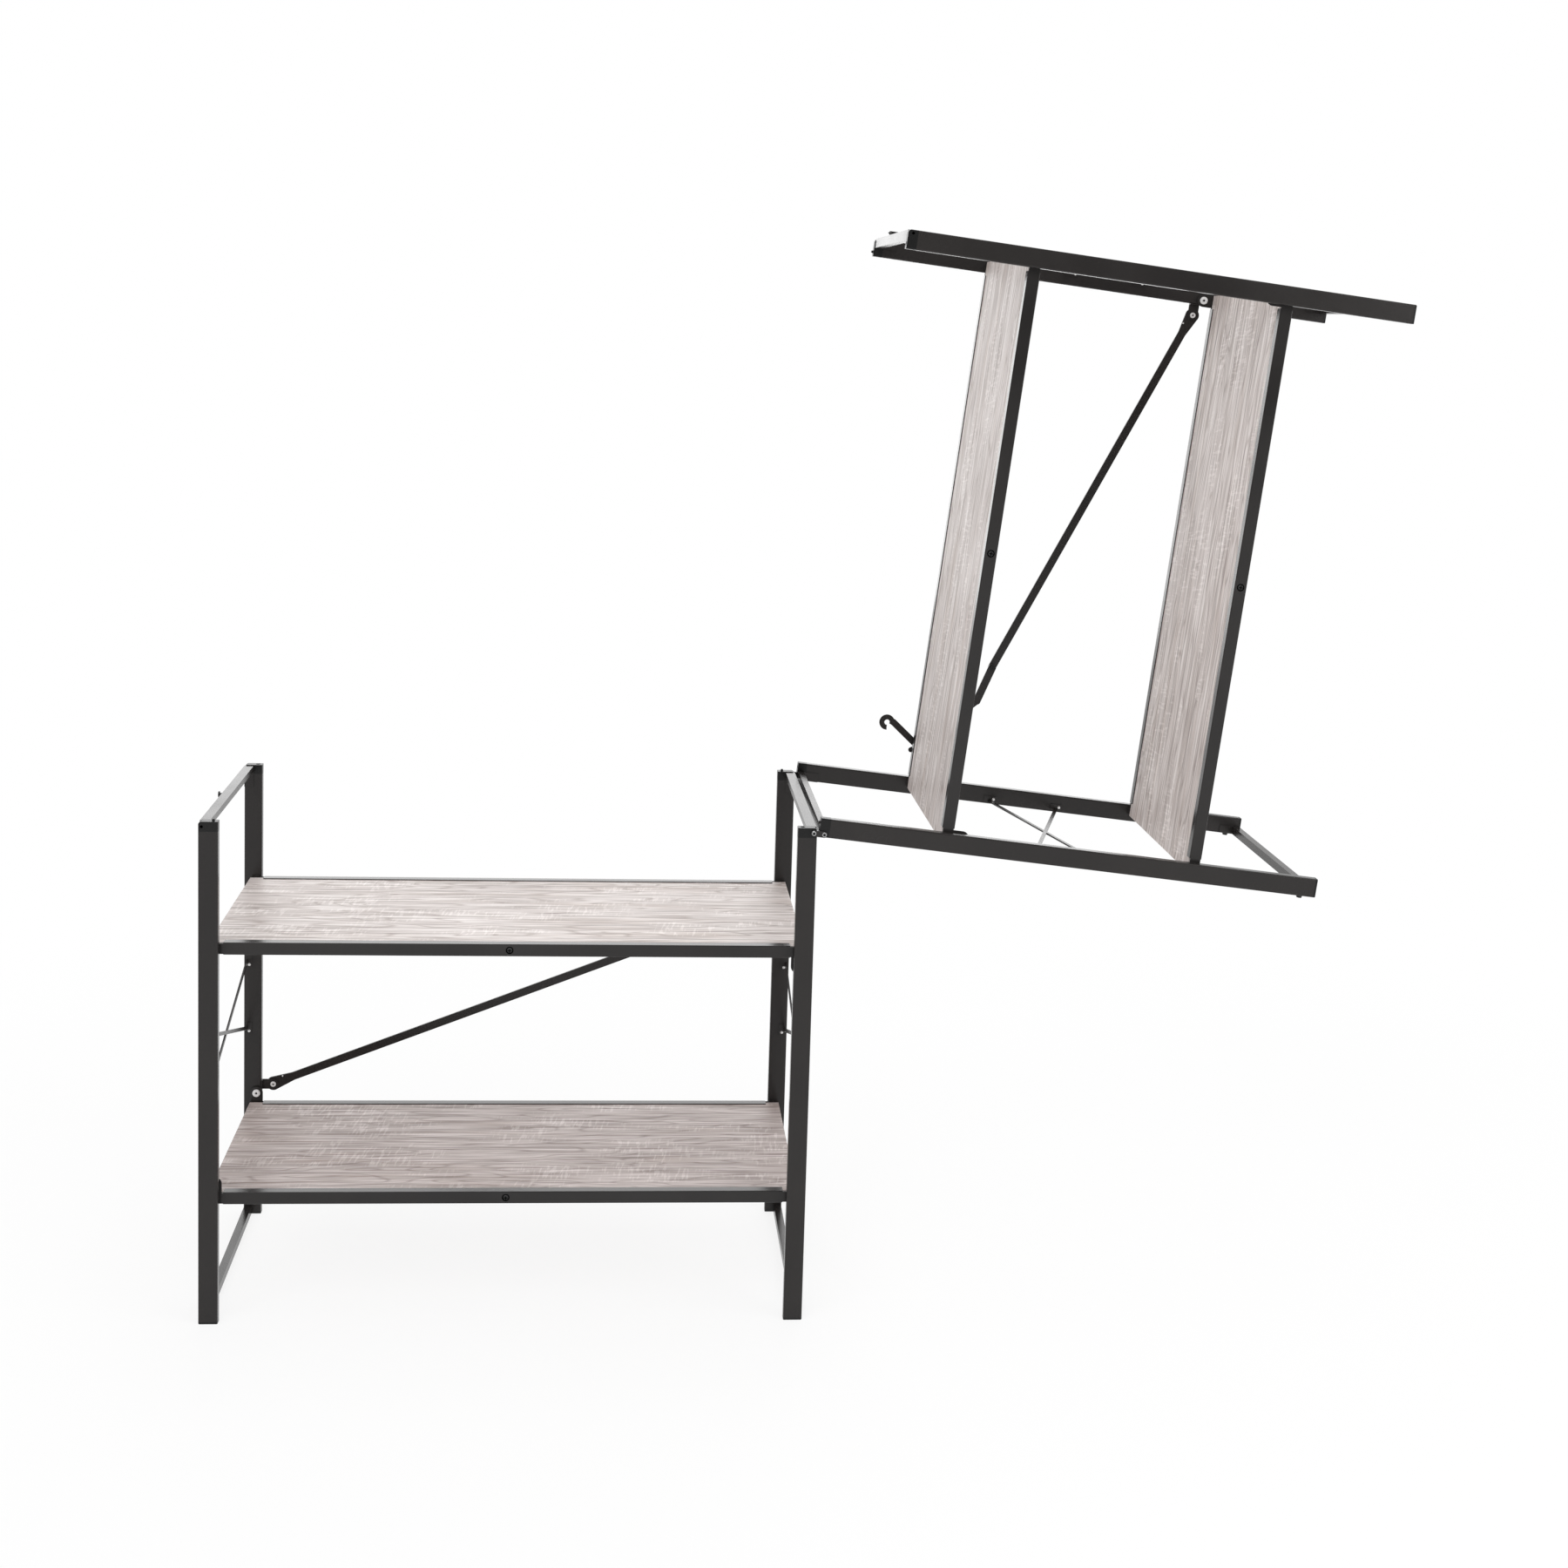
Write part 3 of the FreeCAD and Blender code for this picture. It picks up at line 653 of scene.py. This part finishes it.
def hinge_rings():
    """The four hollow rivets of the hinge, open at the outer end."""
    profile = [(0.0, -HINGE_FACE + HINGE_DEPTH), (HINGE_HOLLOW, -HINGE_FACE + HINGE_DEPTH)]
    profile += [(HINGE_HOLLOW, -HINGE_FACE), (HINGE_CROWN, -HINGE_FACE), (HINGE_HEAD, -HINGE_SEAT)]
    profile += [(HINGE_SHANK, -HINGE_SEAT), (HINGE_SHANK, HINGE_END), (0.0, HINGE_END)]

    def make(bm):
        for rivet in (low_rivet, high_rivet):
            for depth, facing in ((0.0, 1), (unit_depth, -1)):
                place = Vector((rivet.x, unit_front + depth, rivet.z))
                verts = [bm.verts.new((radius, facing * y, 0)) for radius, y in profile]
                edges = [bm.edges.new(pair) for pair in zip(verts, verts[1:])]
                bmesh.ops.spin(
                    bm,
                    geom=verts + edges,
                    cent=(0, 0, 0),
                    axis=(0, 1, 0),
                    angle=math.tau,
                    steps=ROUND_STEPS,
                )
                ring = [vert for vert in bm.verts if not vert.tag]
                bmesh.ops.remove_doubles(bm, verts=ring, dist=MERGE_DISTANCE)
                ring = [vert for vert in bm.verts if not vert.tag]
                bmesh.ops.translate(bm, vec=place, verts=ring)
                for vert in ring:
                    vert.tag = True

    return make


def hinge_hollow_shades():
    """Black discs on the floors of the hinge rivets' hollows: painted shade."""
    inset = HINGE_FACE - HINGE_DEPTH + SKIN

    def make(bm):
        for rivet in (low_rivet, high_rivet):
            for depth, facing in ((-inset, -1), (unit_depth + inset, 1)):
                place = Matrix.Translation((rivet.x, unit_front + depth, rivet.z))
                plug(bm, place, facing, HINGE_HOLLOW)

    return make


def stage_material():
    """A pale floor that keeps the shadow near the rack and is plain white further away."""
    material, tree, shader = tree_of("pale_floor")
    shader.inputs["Base Color"].default_value = (FLOOR_TONE, FLOOR_TONE, FLOOR_TONE, 1)
    shader.inputs["Roughness"].default_value = FLOOR_ROUGHNESS
    white = tree.nodes.new("ShaderNodeEmission")
    white.inputs["Color"].default_value = (1, 1, 1, 1)
    place = tree.nodes.new("ShaderNodeTexCoord")
    reach = tree.nodes.new("ShaderNodeVectorMath")
    reach.operation = "LENGTH"
    tree.links.new(place.outputs["Object"], reach.inputs[0])
    fade = tree.nodes.new("ShaderNodeMapRange")
    fade.interpolation_type = "SMOOTHSTEP"
    fade.inputs["From Min"].default_value = FLOOR_FADE[0]
    fade.inputs["From Max"].default_value = FLOOR_FADE[1]
    fade.inputs["To Min"].default_value = FLOOR_WHITE
    tree.links.new(reach.outputs["Value"], fade.inputs["Value"])
    path = tree.nodes.new("ShaderNodeLightPath")
    seen = tree.nodes.new("ShaderNodeMath")
    seen.operation = "MAXIMUM"
    tree.links.new(path.outputs["Is Camera Ray"], seen.inputs[0])
    tree.links.new(path.outputs["Is Glossy Ray"], seen.inputs[1])
    share = tree.nodes.new("ShaderNodeMath")
    share.operation = "MULTIPLY"
    tree.links.new(fade.outputs["Result"], share.inputs[0])
    tree.links.new(seen.outputs["Value"], share.inputs[1])
    mix = tree.nodes.new("ShaderNodeMixShader")
    tree.links.new(share.outputs["Value"], mix.inputs["Fac"])
    tree.links.new(shader.outputs["BSDF"], mix.inputs[1])
    tree.links.new(white.outputs["Emission"], mix.inputs[2])
    tree.links.new(mix.outputs["Shader"], tree.nodes["Material Output"].inputs["Surface"])
    return material


def make_floor():
    """A wide floor that belongs to the studio."""
    bm = bmesh.new()
    bmesh.ops.create_grid(bm, x_segments=1, y_segments=1, size=FLOOR_REACH)
    mesh = bpy.data.meshes.new("floor")
    bm.to_mesh(mesh)
    bm.free()
    floor = bpy.data.objects.new("floor", mesh)
    bpy.context.scene.collection.objects.link(floor)
    paint(floor, stage_material())


def make_world():
    """White where it is seen directly or in a gloss, and a plain fill light elsewhere."""
    world = bpy.data.worlds.new("studio")
    bpy.context.scene.world = world
    world.use_nodes = True
    tree = world.node_tree
    background = tree.nodes["Background"]
    background.inputs["Color"].default_value = (1, 1, 1, 1)
    path = tree.nodes.new("ShaderNodeLightPath")
    direct = tree.nodes.new("ShaderNodeMath")
    direct.operation = "MAXIMUM"
    tree.links.new(path.outputs["Is Camera Ray"], direct.inputs[0])
    tree.links.new(path.outputs["Is Transmission Ray"], direct.inputs[1])
    direction = tree.nodes.new("ShaderNodeTexCoord")
    heading = tree.nodes.new("ShaderNodeSeparateXYZ")
    tree.links.new(direction.outputs["Generated"], heading.inputs["Vector"])
    room = map_range(tree, heading.outputs["Y"], *ROOM_EDGES, ROOM_SHADE, 1.0)
    mirrored = map_range(tree, path.outputs["Is Glossy Ray"], 0.0, 1.0, WORLD_FILL, 1.0)
    tree.links.new(room, mirrored.node.inputs["To Max"])
    strength = map_range(tree, direct.outputs["Value"], 0.0, 1.0, 0.0, 1.0)
    tree.links.new(mirrored, strength.node.inputs["To Min"])
    tree.links.new(strength, background.inputs["Strength"])


def area_light(name, place, target, size, power):
    """A soft square light that the camera doesn't see."""
    light = bpy.data.lights.new(name, "AREA")
    light.size = size
    light.energy = power
    holder = bpy.data.objects.new(name, light)
    bpy.context.scene.collection.objects.link(holder)
    holder.location = place
    holder.rotation_euler = (Vector(target) - Vector(place)).to_track_quat("-Z", "Y").to_euler()
    holder.visible_camera = False


def make_camera():
    """The photograph's viewpoint, from a fit to the corners of the rack."""
    camera = bpy.data.cameras.new("photo_view")
    camera.sensor_width = SENSOR_MM
    camera.lens = CAMERA_FOCAL_PX * camera.sensor_width / IMAGE_PX
    camera.shift_x, camera.shift_y = CAMERA_SHIFT
    camera.clip_end = VIEW_REACH
    holder = bpy.data.objects.new("photo_view", camera)
    bpy.context.scene.collection.objects.link(holder)
    yaw, pitch, roll = CAMERA_ANGLES
    forward = Vector((math.sin(yaw) * math.cos(pitch), math.cos(yaw) * math.cos(pitch), math.sin(pitch)))
    level = Vector((math.cos(yaw), -math.sin(yaw), 0))
    upright = level.cross(forward)
    right = level * math.cos(roll) + upright * math.sin(roll)
    up = upright * math.cos(roll) - level * math.sin(roll)
    axes = Matrix((right, up, -forward)).transposed()
    holder.matrix_world = Matrix.Translation(CAMERA_PLACE) @ axes.to_4x4()
    bpy.context.scene.camera = holder


finishes = {
    "frame": powder_coat("charcoal_powder_coat", *FRAME_COAT),
    "rail": powder_coat("charcoal_rail_coat", *RAIL_COAT),
    # Darker oak copy for the bottom board: painted shade
    "shaded_bottom_oak": oak_print("oak_print_bottom_shaded", 0.0, SHADED_BOTTOM_OAK_TONE),
    "lower_oak": oak_print("oak_print_lower", 0.0, OAK_TONE),
    "upper_oak": oak_print("oak_print_upper", -swing, OAK_TONE),
    "cap": cap_plastic(),
}
for name, setting in PLAIN_FINISHES.items():
    finishes[name] = plain_finish(*setting)

for name, piece in nodes.items():
    finish_solid(name, piece, finishes)

for unit in PLACES:
    for side in ("left", "right"):
        body = unit + "_" + side + "_frame"
        title = unit + "_" + side + "_strip_screws"
        new_piece(title, strip_screws(unit, side), finishes["zinc"], body)

for unit in PLACES:
    for side in ("left", "right"):
        body = unit + "_" + side + "_frame"
        # Black discs of painted shade on the shelf rivets' hollow ends
        title = unit + "_" + side + "_pivot_hollow_shades"
        new_piece(title, pivot_hollow_shades(unit, side), finishes["cap"], body)
    brace = unit + "_brace"
    # Black disc of painted shade in the start rivet's hollow, together with the blackened head of the hook
    # rivet
    new_piece(brace + "_rivet_hollow_shade", brace_rivet_ends(unit), finishes["cap"], brace)
    new_piece(unit + "_crimp_dimple", crimp_dimple(unit), finishes["zinc"], brace)
    hook = unit + "_brace_hook"
    plate = new_piece(unit + "_hook_plate", hook_plate(unit), finishes["frame"], hook)
    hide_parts(unit + "_brace_hook")

for shelf, (unit, height) in SHELF_PLACES.items():
    new_piece(shelf + "_pan_heads", pan_heads(unit, height), finishes["pan"], shelf)
    # Black crosses of painted shade for the screws' cross slots
    crosses = pan_cross_shades(unit, height)
    new_piece(shelf + "_pan_cross_shades", crosses, finishes["recess_shade"], shelf)

rings = new_piece("hinge_rivet_rings", hinge_rings(), finishes["hinge_zinc"], "hinge_links")
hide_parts("hinge_rivets")
# Black discs of painted shade on the floors of the hinge rivets' hollows
new_piece("hinge_rivet_hollows", hinge_hollow_shades(), finishes["cap"], "hinge_links")

make_floor()
make_world()
for name, setting in LIGHTS.items():
    area_light(name, *setting)
make_camera()
bpy.context.scene.view_settings.view_transform = "Standard"
